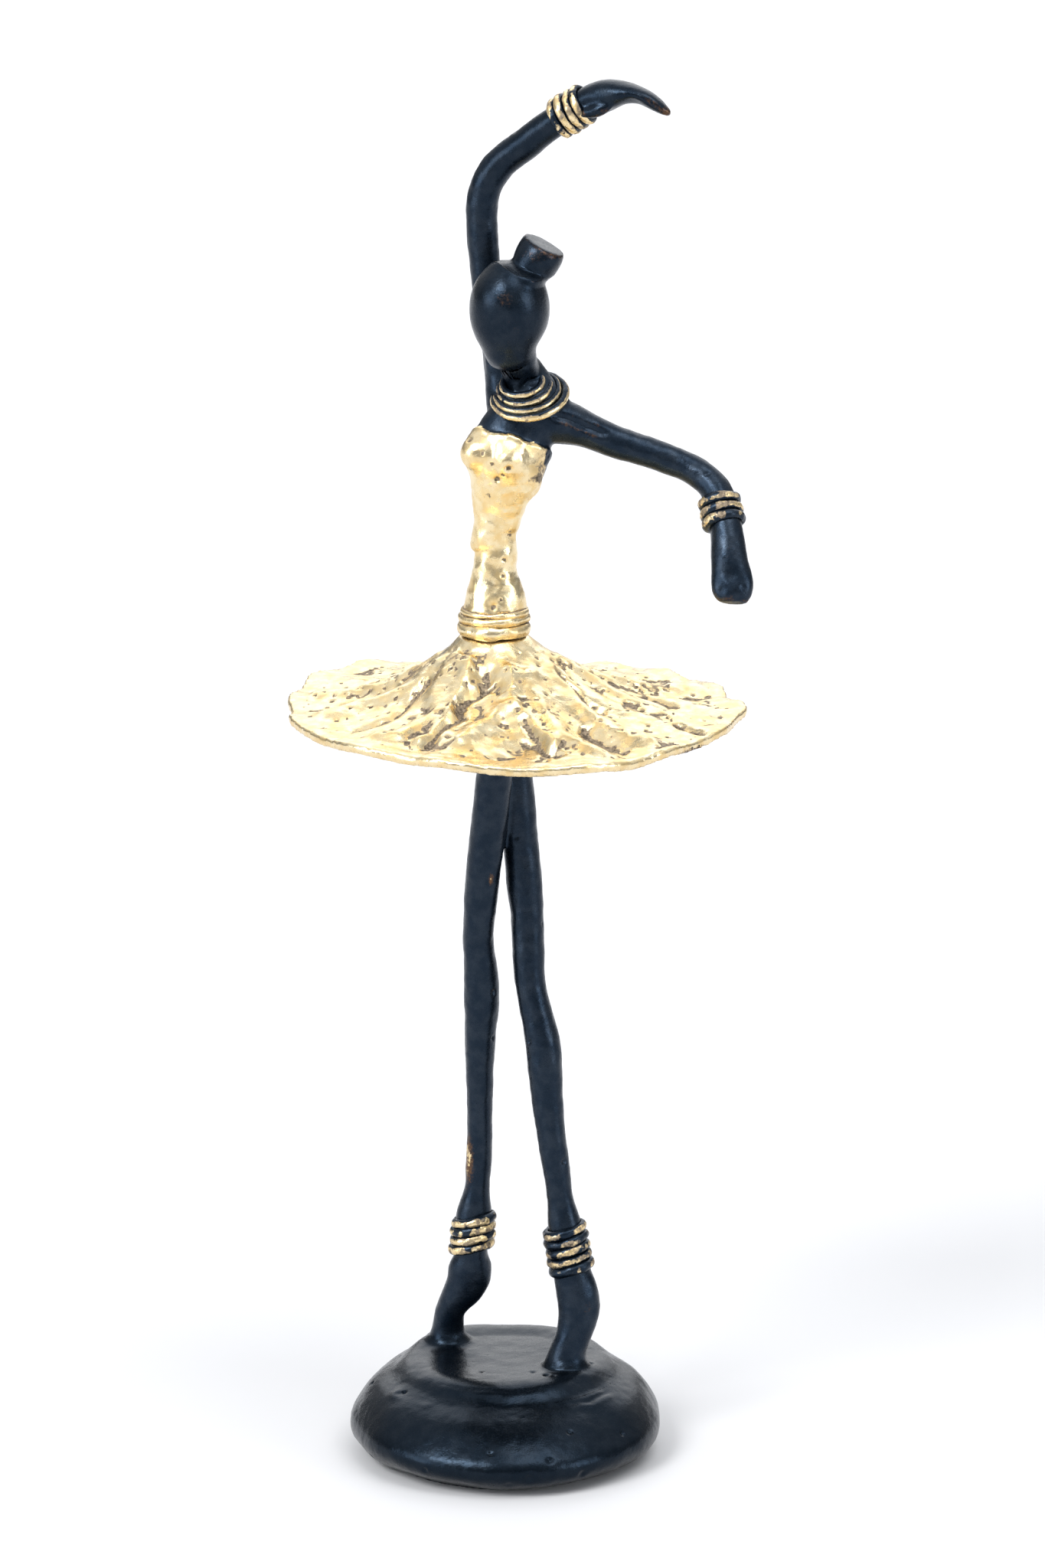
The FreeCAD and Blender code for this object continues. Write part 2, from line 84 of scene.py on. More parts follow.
# Grooves and creases: the line that each follows, its half width and its depth.
ARM_GROOVE = [(13.0, -1.2, 307.2), (18.0, -0.9, 306.0), (24.0, -0.2, 303.2), (30.0, 0.0, 300.8)]
ARM_GROOVE_WIDTH, ARM_GROOVE_DEPTH = 1.1, 1.0
CLEFT = [(-3.6, -6.0, 300.0), (-3.4, -6.0, 294.0), (-2.6, -5.4, 289.0)], 1.3, 0.6
WAIST_CREASE = [(-9.0, -1.0, 268.0), (-2.8, -2.2, 267.4), (3.5, -1.0, 268.2)], 0.8, 0.45
BASE_RIPPLE = [
    (-30.5, -13.0, 20.5), (-21.0, -21.0, 20.0), (-6.0, -26.5, 19.8),
    (9.0, -27.0, 19.8), (24.0, -20.0, 20.4), (31.0, -11.0, 21.0),
]
RIPPLE_CREST, RIPPLE_TROUGH = (1.6, 1.6, 0.35), (0.0, 0.9, 0.42)  # offset, half width, size
BASE_CRACK = [
    (16.0, -43.4, 8.2), (19.5, -42.2, 7.2), (22.5, -40.4, 8.6), (25.0, -38.8, 7.4),
], 0.45, 0.7
BASE_FOLD = [
    (-22.0, -14.0, 26.0), (-12.0, -20.5, 26.0), (2.0, -23.0, 26.0), (14.0, -20.0, 26.0),
], 0.9, 0.45

SKIRT_TOP_CENTRE = np.array((-3.1, 4.0))
SKIRT_RIM_CENTRE = np.array((2.9, 3.4))
SKIRT_MIDDLE_Y = 3.7
SKIRT_RADIUS = 64.0
BELT_RADIUS, BELT_TO_RIM = 9.4, 54.0
RIM_EDGE, LIFT_EDGE, JUT_EDGE = (58.5, 61.0), (11.0, 16.0), (48, 62)  # radii of soft edges
CAST_RIDGES = [4, 23, 47, 64, 85, 108, 131, 150, 172, 194, 229, 252, 290, 315, 338]  # degrees
RIDGE_SWIRL, RIDGE_SHARPNESS, RIDGE_HEIGHT, RIDGE_LEVEL = 0.16, 1.3, 2.9, 0.35
FOLD_GAIN = 1.45
WAVER, WAVER_SIZE = 1.1, 6.0  # how far folds stray from their lines, and over what length
# Folds of the skirt from the belt outwards: height, half width, then (radius, degrees from +X).
FOLDS = [
    (1.5, 3.4, [(10.5, 213), (21, 222), (38, 236), (52, 233), (60, 223)]),
    (1.7, 3.2, [(12, 232), (20, 239), (46, 245), (57, 240)]),
    (1.6, 3.4, [(14, 284), (28, 275), (42, 258), (55, 251)]),
    (1.4, 3.0, [(28, 275), (38, 279), (52, 285)]),
    (1.6, 3.4, [(13, 304), (24, 294), (45, 290), (62, 297)]),
    (1.2, 3.2, [(14, 338), (24, 320), (44, 312), (60, 316)]),
    (1.2, 3.4, [(14, 196), (26, 200), (44, 194), (60, 196)]),
    (1.1, 3.2, [(14, 160), (30, 170), (48, 171), (62, 168)]),
    (1.1, 3.2, [(14, 12), (30, 352), (48, 346), (62, 350)]),
    (1.1, 3.2, [(14, 40), (30, 24), (46, 18), (62, 22)]),
    (1.0, 3.2, [(14, 70), (30, 58), (46, 52), (62, 56)]),
    (1.0, 3.2, [(14, 100), (30, 92), (46, 88), (62, 86)]),
    (1.0, 3.2, [(14, 130), (30, 122), (46, 118), (62, 122)]),
    (-1.6, 1.5, [(14.5, 270), (27, 250), (38, 247), (58, 244)]),
    (-1.4, 1.6, [(35, 278), (50, 280), (57, 285)]),
    (-1.3, 3.6, [(44, 278), (51, 269), (56, 262)]),
    (-1.3, 1.6, [(17, 331), (28, 324), (36, 326)]),
    (-1.1, 2.6, [(38, 304), (48, 303), (57, 306)]),
    (-1.2, 1.8, [(22, 208), (40, 216), (55, 212)]),
    (-1.1, 2.0, [(30, 180), (40, 184), (50, 182)]),
    (-1.1, 2.0, [(28, 2), (40, 0), (50, 358)]),
    (-1.0, 1.6, [(50, 338), (58, 334), (64, 332)]),
    (-1.0, 2.0, [(24, 75), (40, 70), (54, 72)]),
    (-1.0, 2.0, [(24, 110), (40, 106), (54, 104)]),
    (-1.0, 2.0, [(24, 150), (40, 146), (54, 148)]),
]
# Where the skirt's rim stands out or falls back: mm, degrees from +X, half width in degrees.
RIM_JUTS = [(1.3, 0, 4.5), (-1.8, 10, 4.0), (1.4, -62, 9.0), (-1.0, -118, 8.0)]

# Single sculpted pits: (x, y, z, radius, depth).
PITS = [
    (7.0, -44.5, 7.0, 1.3, 0.9), (13.0, -42.5, 11.5, 0.9, 0.6), (22.0, -39.0, 6.5, 1.1, 0.7),
    (15.5, -42.8, 4.2, 1.0, 0.7), (1.0, -45.0, 4.5, 0.9, 0.6), (12.0, -12.0, 26.0, 0.8, 0.9),
    (14.2, -12.6, 26.0, 0.6, 0.7), (8.0, -9.0, 26.0, 0.7, 0.7), (-2.4, -3.2, 258.6, 1.2, 0.8),
    (-3.4, -3.0, 252.4, 1.3, 0.8), (1.6, -3.0, 262.2, 1.0, 0.6), (23.5, 2.0, 393.5, 2.0, 0.8),
    (35.5, -2.0, 394.8, 2.6, 0.8), (63.4, -23.0, 266.0, 2.2, 0.7), (61.0, -22.0, 261.5, 1.6, 0.5),
]
# Worn places that show metal through the patina: (x, y, z, radius, height, strength).
WORN = [
    (-11.6, 10.2, 85.0, 2.6, 9.0, 1.0), (-4.0, -0.5, 172.0, 1.0, 2.4, 0.8),
    (0.0, -10.2, 341.5, 4.0, 3.4, 0.42), (3.4, -10.0, 333.0, 2.0, 3.0, 0.3),
    (8.8, 0.6, 352.4, 5.0, 3.2, 0.5), (45.0, -2.0, 392.6, 2.6, 2.2, 0.75),
    (62.6, -17.0, 271.0, 3.0, 5.0, 0.35), (-12.4, 15.2, 47.0, 2.4, 3.0, 0.3),
    (24.0, -6.6, 45.0, 2.4, 3.4, 0.35),
]
WORN_DEPTH = 1.6  # a worn place is this much longer from front to back

# Rings, how uneven they are in mm, first seed, and how gilt those on the right and left limb are.
WINDINGS = [
    (COLLAR, 0.30, 200, 1.0, 1.0),
    (BRACELETS, 0.50, 300, 0.7, 0.35),
    (ANKLETS, 0.50, 400, 0.6, 0.2),
]
SEEDS_PER_WIRE = 9
FIT_POINTS = 4000  # points enough to find the plane of a ring

# Colours of the bronze. Pairs are clouded into each other.
PATINA = (0.0085, 0.0170, 0.0300, 1), (0.0185, 0.0280, 0.0420, 1)
DEEP_PATINA = (0.0030, 0.0070, 0.0120, 1)
BARE_METAL = (0.150, 0.078, 0.036, 1)  # shows through the patina where it is worn
BRASS = (0.890, 0.750, 0.480, 1), (0.790, 0.590, 0.290, 1)
STAIN = (0.800, 0.560, 0.260, 1)
RESIDUE = (0.075, 0.058, 0.042, 1), (0.330, 0.260, 0.180, 1)
# Roughness: from and to for what varies.
BRASS_ROUGHNESS, RESIDUE_ROUGHNESS = (0.19, 0.33), 0.62
PATINA_ROUGHNESS, DEEP_ROUGHNESS = (0.24, 0.36), (0.18, 0.27)
# Where each mask, with its ragged edge, starts to count and counts in full.
GOLD_EDGE, DIRT_EDGE, WEAR_EDGE = (0.38, 0.62), (0.40, 0.66), (0.30, 0.85)
RAGGED = 0.9
# Noise in metres: scale, detail, roughness.
CLOUDS, GRAIN, SPECKLE = (260.0, 3.0, 0.55), (1300.0, 4.0, 0.62), (2600.0, 2.0, 0.6)
BUMP_DEPTH = 0.00022  # metres
BUMP_STRENGTH = 0.32
SPECULAR = 0.4

FLOOR_COLOUR, FLOOR_ROUGHNESS, FLOOR_HALF = (0.60, 0.60, 0.61), 0.9, 14.0
COOL, WHITE = (0.90, 0.95, 1.0), (1, 1, 1)
# Softboxes: name, azimuth, elevation, spread, strength, colour.
SOFTBOXES = [
    ("key", -42, 42, 24, 2.25, WHITE),
    ("fill", 58, 14, 26, 0.8, COOL),
    ("low", -62, 9, 34, 1.3, COOL),
    ("top", 40, 64, 34, 1.0, WHITE),
    ("back", 176, 34, 60, 0.9, WHITE),
]
ROOM_COLOUR = (0.95, 0.97, 1.0, 1)
HORIZON, ZENITH = 0.05, 0.85  # upward parts of a direction between which the room brightens
HORIZON_GLOW, ZENITH_GLOW = 0.26, 1.0

CAMERA_PLACE = (0.00125, -1.70265, 0.624)
CAMERA_TILT = 76.0  # degrees from straight down
LENS, SENSOR = 141.1, 36.0
CLIP_NEAR, CLIP_FAR = 0.1, 60.0


# ---------------------------------------------------------------- noise

WORD = 0xFFFFFFFF
OCTAVES = 3
OCTAVE_WEIGHT = 0.55
OCTAVE_SUM = 1.85  # what the octaves' weights add up to
FACET_LEVEL = 0.3  # about the mean of a squared distance to the nearest centre


def grid_value(i, j, k, seed):
    """A fixed random number from 0 to 1 for each corner of a grid. The factors only scramble."""
    h = (i * 374761393 + j * 668265263 + k * 1274126177 + seed * 974634777) & WORD
    h = ((h ^ (h >> 13)) * 1103515245) & WORD
    h = ((h ^ (h >> 15)) * 12345677) & WORD
    return ((h ^ (h >> 16)) & 0xFFFFFF) / 16777215.0


def noise(points, size, seed):
    """Smooth noise from -1 to 1 with lumps of about a size."""
    q = points / size
    cell = np.floor(q).astype(np.int64)
    f = q - cell
    f = f * f * f * (f * (f * 6 - 15) + 10)
    total = np.zeros(len(points))
    for dx in (0, 1):
        wx = f[:, 0] if dx else 1 - f[:, 0]
        for dy in (0, 1):
            wy = f[:, 1] if dy else 1 - f[:, 1]
            for dz in (0, 1):
                wz = f[:, 2] if dz else 1 - f[:, 2]
                corner = cell[:, 0] + dx, cell[:, 1] + dy, cell[:, 2] + dz
                total += wx * wy * wz * grid_value(*corner, seed)
    return total * 2 - 1


def rough(points, size, seed):
    """Noise with finer noise on top."""
    total, weight = 0.0, 1.0
    for k in range(OCTAVES):
        total = total + weight * noise(points, size / 2**k, seed + 17 * k)
        weight *= OCTAVE_WEIGHT
    return total / OCTAVE_SUM


def cells(points, size, seed):
    """Distance to the nearest of scattered centres, in sizes, and that centre's random number."""
    q = points / size
    home = np.floor(q).astype(np.int64)
    nearest = np.full(len(points), 9.0)
    number = np.zeros(len(points))
    for dx in (-1, 0, 1):
        for dy in (-1, 0, 1):
            for dz in (-1, 0, 1):
                c = home + np.array((dx, dy, dz))
                i, j, k = c[:, 0], c[:, 1], c[:, 2]
                spot = np.stack([grid_value(i, j, k, seed + s) for s in (1, 2, 3)], axis=1)
                away = np.linalg.norm(q - c - spot, axis=1)
                closer = away < nearest
                nearest = np.where(closer, away, nearest)
                number = np.where(closer, grid_value(i, j, k, seed + 4), number)
    return nearest, number


def facets(points, size, seed):
    """Soft facets like thumbed wax, from below 0 in their middles to above 0 where they meet."""
    return cells(points, size, seed)[0] ** 2 - FACET_LEVEL


def pits(scattered, edge, floor, share):
    """1 in the middle of a share of the scattered cells, 0 past the edge."""
    away, number = scattered
    return step(edge, floor, away) * (number < share)


def step(low, high, x):
    """0 up to low, 1 from high on, and smooth between. With low above high it falls instead."""
    t = np.clip((x - low) / (high - low), 0, 1)
    return t * t * (3 - 2 * t)


def band(x, rise, fall):
    """1 between a rising and a falling step."""
    return step(*rise, x) * step(*fall, x)


def bell(distance, width):
    """1 at a distance of 0, and nearly 0 from two widths on."""
    return np.exp(-((distance / width) ** 2))


# ---------------------------------------------------------------- skins

VOTE_ROUNDS = 6


class Skin:
    """A closed surface of quads, in millimetres about the middle of the base."""

    def __init__(self, points, quads):
        self.p = points
        self.quads = quads
        sides = [quads[:, [0, 1]], quads[:, [1, 2]], quads[:, [2, 3]], quads[:, [3, 0]]]
        pairs = np.concatenate(sides)
        pairs.sort(axis=1)
        key = np.unique(pairs[:, 0] * len(points) + pairs[:, 1])
        self.a, self.b = key // len(points), key % len(points)
        ones = np.ones(len(self.a))
        self.degree = np.maximum(self.gather(ones, ones), 1)

    def gather(self, from_b, from_a):
        """Adds up, at each point, what its edges bring from their other ends."""
        n = len(self.p)
        return np.bincount(self.a, from_b, n) + np.bincount(self.b, from_a, n)

    def mean(self, values):
        """Each point's value averaged over its neighbours."""
        if values.ndim == 1:
            return self.gather(values[self.b], values[self.a]) / self.degree
        return np.stack([self.mean(values[:, k]) for k in range(values.shape[1])], axis=1)

    def spread(self, values, rounds):
        """The values blurred over the surface."""
        for _ in range(rounds):
            values = 0.5 * values + 0.5 * self.mean(values)
        return values

    def relax(self, weight, rounds):
        """Softens the shape where weight is above 0."""
        weight = np.broadcast_to(weight, len(self.p))[:, None]
        for _ in range(rounds):
            self.p = self.p + (self.mean(self.p) - self.p) * 0.5 * weight

    def normals(self):
        q = self.p[self.quads]
        n = np.cross(q[:, 2] - q[:, 0], q[:, 3] - q[:, 1])
        total = np.zeros_like(self.p)
        for corner in range(4):
            for axis in range(3):
                total[:, axis] += np.bincount(self.quads[:, corner], n[:, axis], len(self.p))
        return total / np.maximum(np.linalg.norm(total, axis=1), 1e-9)[:, None]

    def push(self, height):
        """Moves each point out along its normal."""
        self.p = self.p + self.normals() * height[:, None]

    def hollow(self, rounds):
        """Above 0 in grooves and below 0 on crests, at a scale set by rounds."""
        n = self.normals()
        soft = self.spread(self.p, rounds)
        return np.einsum("ij,ij->i", soft - self.p, n)


def castings(names):
    """Points and triangles of some castings, and the index of each triangle's casting."""
    points, triangles, owner, start = [], [], [], 0
    for index, name in enumerate(names):
        data = nodes[name].data
        co = np.empty(len(data.vertices) * 3)
        data.vertices.foreach_get("co", co)
        corner = np.empty(len(data.polygons) * 3, np.int32)
        data.polygons.foreach_get("vertices", corner)
        points.append(co.reshape(-1, 3) * MM_PER_METRE - TO_FRAME)
        triangles.append(corner.reshape(-1, 3) + start)
        owner += [index] * len(data.polygons)
        start += len(data.vertices)
    return np.concatenate(points).tolist(), np.concatenate(triangles).tolist(), owner


def skin_of(names, voxel, rounds):
    """One skin round several castings."""
    points, triangles, _ = castings(names)
    mesh = bpy.data.meshes.new("work")
    mesh.from_pydata(points, [], triangles)
    work = bpy.data.objects.new("work", mesh)
    bpy.context.scene.collection.objects.link(work)
    remesh = work.modifiers.new("remesh", "REMESH")
    remesh.mode = "VOXEL"
    remesh.voxel_size = voxel
    bpy.context.view_layer.update()
    done = work.evaluated_get(bpy.context.evaluated_depsgraph_get()).to_mesh()
    co = np.empty(len(done.vertices) * 3)
    done.vertices.foreach_get("co", co)
    quads = np.empty(len(done.polygons) * 4, np.int32)
    done.polygons.foreach_get("vertices", quads)
    skin = Skin(co.reshape(-1, 3), quads.reshape(-1, 4).astype(np.int64))
    bpy.data.objects.remove(work)
    bpy.data.meshes.remove(mesh)
    skin.relax(1.0, rounds)
    return skin


def owners(names, points):
    """Index of the casting that is nearest to each point."""
    corners, triangles, owner = castings(names)
    tree = BVHTree.FromPolygons(corners, triangles)
    return np.array([owner[tree.find_nearest(p)[2]] for p in points.tolist()])


def settle(skin, owner, count):
    """Gives each small island of faces to the casting round it."""
    votes = np.zeros((len(skin.p), count))
    for corner in range(4):
        np.add.at(votes, (skin.quads[:, corner], owner), 1.0)
    votes = skin.spread(votes, VOTE_ROUNDS)
    return votes[skin.quads].sum(axis=1).argmax(axis=1)


# ---------------------------------------------------------------- pieces

def piece(name, node, skin, masks, material, keep=None, normals=None):
    """A piece from a skin, or from some of its faces and closed where it is cut from the rest."""
    quads = skin.quads if keep is None else skin.quads[keep]
    normals = skin.normals() if normals is None else normals
    used, inverse = np.unique(quads, return_inverse=True)
    quads = inverse.reshape(-1, 4)
    mesh = bpy.data.meshes.new(name)
    mesh.from_pydata(((skin.p[used] + TO_FRAME) * METRES_PER_MM).tolist(), [], quads.tolist())
    edges = bmesh.new()
    edges.from_mesh(mesh)
    rim = [edge for edge in edges.edges if edge.is_boundary]
    if rim:
        for edge in rim:
            edge.smooth = False
        made = bmesh.ops.holes_fill(edges, edges=rim, sides=0)
        bmesh.ops.triangulate(edges, faces=made["faces"])
    edges.to_mesh(mesh)
    edges.free()
    for key, values in masks.items():
        layer = mesh.attributes.new(key, "FLOAT", "POINT")
        layer.data.foreach_set("value", values[used].astype(np.float32))
    mesh.shade_smooth()
    mesh.normals_split_custom_set_from_vertices(normals[used].tolist())
    obj = bpy.data.objects.new(name, mesh)
    bpy.context.scene.collection.objects.link(obj)
    mesh.materials.append(material)
    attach(obj, "root")
    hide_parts(node)


def split(skin, names, masks, materials):
    """One piece for each casting under a skin."""
    centres = skin.p[skin.quads].mean(axis=1)
    owner = settle(skin, owners(names, centres), len(names))
    normals = skin.normals()
    for index, name in enumerate(names):
        piece("cast_" + name, name, skin, masks, materials[name], owner == index, normals)


# ---------------------------------------------------------------- materials

def bronze(name):
    """Patinated and polished bronze by masks of the mesh.

    gold is polished brass, dirt its matt residue and on the bodice's right side also painted
    shade, wear bare metal through the patina, and deep a darker, glossier patina. A mask that a
    mesh doesn't have counts as 0.
    """
    material = bpy.data.materials.new(name)
    material.use_nodes = True
    tree = material.node_tree
    tree.nodes.clear()

    def node(kind, **settings):
        made = tree.nodes.new(kind)
        for key, value in settings.items():
            setattr(made, key, value)
        return made

    def put(socket, value):
        if isinstance(value, bpy.types.NodeSocket):
            tree.links.new(value, socket)
        else:
            socket.default_value = value

    def maths(operation, a, b=0.0, clamp=False):
        made = node("ShaderNodeMath", operation=operation, use_clamp=clamp)
        put(made.inputs[0], a)
        put(made.inputs[1], b)
        return made.outputs[0]

    def mask(key):
        return node("ShaderNodeAttribute", attribute_name=key).outputs["Fac"]

    def grain(scale, detail, roughness):
        made = node("ShaderNodeTexNoise")
        put(made.inputs["Vector"], where)
        put(made.inputs["Scale"], scale)
        put(made.inputs["Detail"], detail)
        put(made.inputs["Roughness"], roughness)
        return made.outputs["Fac"]

    def between(value, low, high, to_low=0.0, to_high=1.0):
        made = node("ShaderNodeMapRange", interpolation_type="SMOOTHSTEP")
        put(made.inputs["Value"], value)
        put(made.inputs["From Min"], low)
        put(made.inputs["From Max"], high)
        put(made.inputs["To Min"], to_low)
        put(made.inputs["To Max"], to_high)
        return made.outputs["Result"]

    def blend(share, a, b):
        made = node("ShaderNodeMix", data_type="RGBA")
        put(made.inputs["Factor"], share)
        colour_a, colour_b = [s for s in made.inputs if s.name in "AB" and s.type == "RGBA"]
        put(colour_a, a)
        put(colour_b, b)
        return [s for s in made.outputs if s.type == "RGBA"][0]

    def amount(share, a, b):
        rest = maths("MULTIPLY", maths("SUBTRACT", 1.0, share), a)
        return maths("ADD", rest, maths("MULTIPLY", share, b))

    where = node("ShaderNodeTexCoord").outputs["Object"]
    coarse = grain(*CLOUDS)
    fine = grain(*GRAIN)
    speckle = grain(*SPECKLE)

    ragged = maths("MULTIPLY", maths("SUBTRACT", fine, 0.5), RAGGED)
    gold = between(maths("ADD", mask("gold"), ragged), *GOLD_EDGE)
    dirt = between(maths("ADD", mask("dirt"), ragged), *DIRT_EDGE)
    wear = between(maths("ADD", mask("wear"), maths("MULTIPLY", ragged, 1.1)), *WEAR_EDGE)
    deep = mask("deep")

    patina = blend(between(coarse, 0.35, 0.7), *PATINA)
    patina = blend(maths("MULTIPLY", deep, 0.75), patina, DEEP_PATINA)
    patina = blend(maths("MULTIPLY", wear, 0.85), patina, BARE_METAL)
    brass = blend(between(coarse, 0.3, 0.72), *BRASS)
    # The dirt mask also carries the painted shade on the bodice's right side, which stain and
    # residue paint.
    brass = blend(maths("MULTIPLY", mask("dirt"), 0.6, True), brass, STAIN)
    brass = blend(dirt, brass, blend(between(fine, 0.35, 0.65), *RESIDUE))

    shader = node("ShaderNodeBsdfPrincipled")
    put(shader.inputs["Base Color"], blend(gold, patina, brass))
    metal_gold = amount(dirt, 1.0, 0.55)
    metal_dark = maths("ADD", amount(wear, 0.80, 0.95), maths("MULTIPLY", deep, 0.05))
    put(shader.inputs["Metallic"], amount(gold, metal_dark, metal_gold))
    rough_gold = amount(dirt, between(coarse, 0.3, 0.7, *BRASS_ROUGHNESS), RESIDUE_ROUGHNESS)
    rough_patina = between(fine, 0.3, 0.7, *PATINA_ROUGHNESS)
    rough_dark = amount(deep, rough_patina, between(fine, 0.3, 0.7, *DEEP_ROUGHNESS))
    put(shader.inputs["Roughness"], amount(gold, rough_dark, rough_gold))
    shader.inputs["Specular IOR Level"].default_value = SPECULAR

    relief = maths("ADD", maths("MULTIPLY", fine, 0.7), maths("MULTIPLY", speckle, 0.3))
    bump = node("ShaderNodeBump")
    put(bump.inputs["Strength"], BUMP_STRENGTH)
    put(bump.inputs["Distance"], BUMP_DEPTH)
    put(bump.inputs["Height"], relief)
    put(shader.inputs["Normal"], bump.outputs["Normal"])
    out = node("ShaderNodeOutputMaterial")
    put(out.inputs["Surface"], shader.outputs["BSDF"])
    return material


DARK = bronze("cast_dark_bronze")
POLISHED = bronze("cast_polished_bronze")
WORN_RINGS = bronze("cast_worn_bronze")


# ---------------------------------------------------------------- sculpting tools

def marks(skin, height):
    """Cuts the single pits into a height field."""
    for x, y, z, radius, depth in PITS:
        away = np.linalg.norm(skin.p - np.array((x, y, z)), axis=1)
        height = height - depth * bell(away, radius)
    return height


def worn_spots(skin):
    """How worn each point is by the single worn places."""
    worn = np.zeros(len(skin.p))
    for x, y, z, radius, reach, strength in WORN:
        size = np.array((radius, radius * WORN_DEPTH, reach))
        d = (skin.p - np.array((x, y, z))) / size
        worn = np.maximum(worn, strength * np.exp(-(d**2).sum(axis=1)))
    return worn


def along(points, path):
    """Distance to a path, and how far along it the nearest point is, from 0 to 1."""
    path = np.array(path, float)
    spans = np.linalg.norm(np.diff(path, axis=0), axis=1)
    starts = np.concatenate([[0], np.cumsum(spans)])
    best, place = np.full(len(points), 1e9), np.zeros(len(points))
    for k, (a, b) in enumerate(zip(path, path[1:])):
        t = np.clip(((points - a) @ (b - a)) / spans[k] ** 2, 0, 1)
        away = np.linalg.norm(points - a - t[:, None] * (b - a), axis=1)
        closer = away < best
        best = np.where(closer, away, best)
        place = np.where(closer, (starts[k] + t * spans[k]) / starts[-1], place)
    return best, place


def carved(points, path, width, depth):
    """How deep a groove along a path is at each point."""
    return depth * bell(along(points, path)[0], width)


def wave(away, offset, width, size):
    """A rounded ridge beside a path."""
    return size * bell(away - offset, width)


# ---------------------------------------------------------------- upper body

def form_upper(skin):
    """Leans the bun, fills under the chin, and softens the bust and the foot of the bun."""
    x, y, z = skin.p.T
    top = step(364.0, 360.0, z)  # the raised arm passes above the bun
    bun = step(345.0, 354.0, z) * top * step(12.5, 10.5, np.hypot(x - BUN_X, y - BUN_Y))
    foot = step(343.5, 346.5, z) * top * step(12.0, 9.0, np.hypot(x - 8.0, y - 3.2))
    chin = bell(z - CHIN_Z, 3.4) * step(13, 9, np.hypot(x - 3.5, y - 2.5))
    bust = band(z, (283, 289), (306, 301)) * step(14.5, 11, x)
    crown = band(z, (344.5, 347), (350, 347.5)) * band(x, (-4, 4), (17, 15))
    skin.p = skin.p + np.column_stack([
        1.3 * foot - 1.3 * bun + 0.10 * foot * (x - BUN_X),
        -1.6 * bun + 0.10 * foot * (y - BUN_Y),
        0.34 * bun * (y - 3.8),
    ])
    skin.push(CHIN_FILL * chin)
    skin.relax(0.8 * chin, 36)
    skin.relax(bust, 150)
    skin.push(BUST_SWELL * bust)
    skin.relax(0.6 * crown, 6)


def work_upper(skin, side, trunk, below, head):
    """Presses facets, grooves, pits and the edge of the neckline into the upper body."""
    p = skin.p
    x, y, z = p.T
    dark = 1 - below
    thumbed = facets(p, 5.2, 31)
    planes = facets(p * np.array((1.0, 1.0, 0.7)), 7.5, 33)
    height = (0.50 * thumbed + 0.16 * facets(p, 2.6, 37) - 0.7 * facets(p, 9.0, 35)) * below
    height += (0.20 * thumbed + 0.18 * rough(p, 7.0, 41)) * dark * (1 - 0.75 * head)
    height -= 0.24 * planes * dark * (1 - 0.6 * head)
    height += 0.10 * rough(p, 2.4, 43) * (1 - 0.5 * head) + 0.16 * noise(p, 9.0, 44) * head
    lip = bell(side + 0.6, 0.9) * trunk
    height += POLISH_STEP * below * step(0.5, -1.2, side) + POLISH_LIP * lip
    ridge = bell(x - HEAD_RIDGE_X, HEAD_RIDGE_WIDTH) * step(-6.0, -8.5, y)
    height += HEAD_RIDGE * ridge * head * band(z, (323, 327), (343, 338))
    away, place = along(p, ARM_GROOVE)
    ends = band(place, (0.0, 0.12), (1.0, 0.8))
    height -= ARM_GROOVE_DEPTH * bell(away, ARM_GROOVE_WIDTH) * ends
    height -= carved(p, *CLEFT) * below
    height -= carved(p, *WAIST_CREASE)
    holes = cells(p, 3.2, 51)
    height -= 0.55 * pits(holes, 0.34, 0.16, 0.24) * below
    height -= 0.30 * pits(holes, 0.26, 0.14, 0.08) * dark * (1 - head)
    height -= ARMPIT_DEPTH * band(x, (8, 12), (16, 14.5)) * band(z, (282, 287), (296, 291))
    skin.push(marks(skin, height))
    skin.relax(0.6, 1)


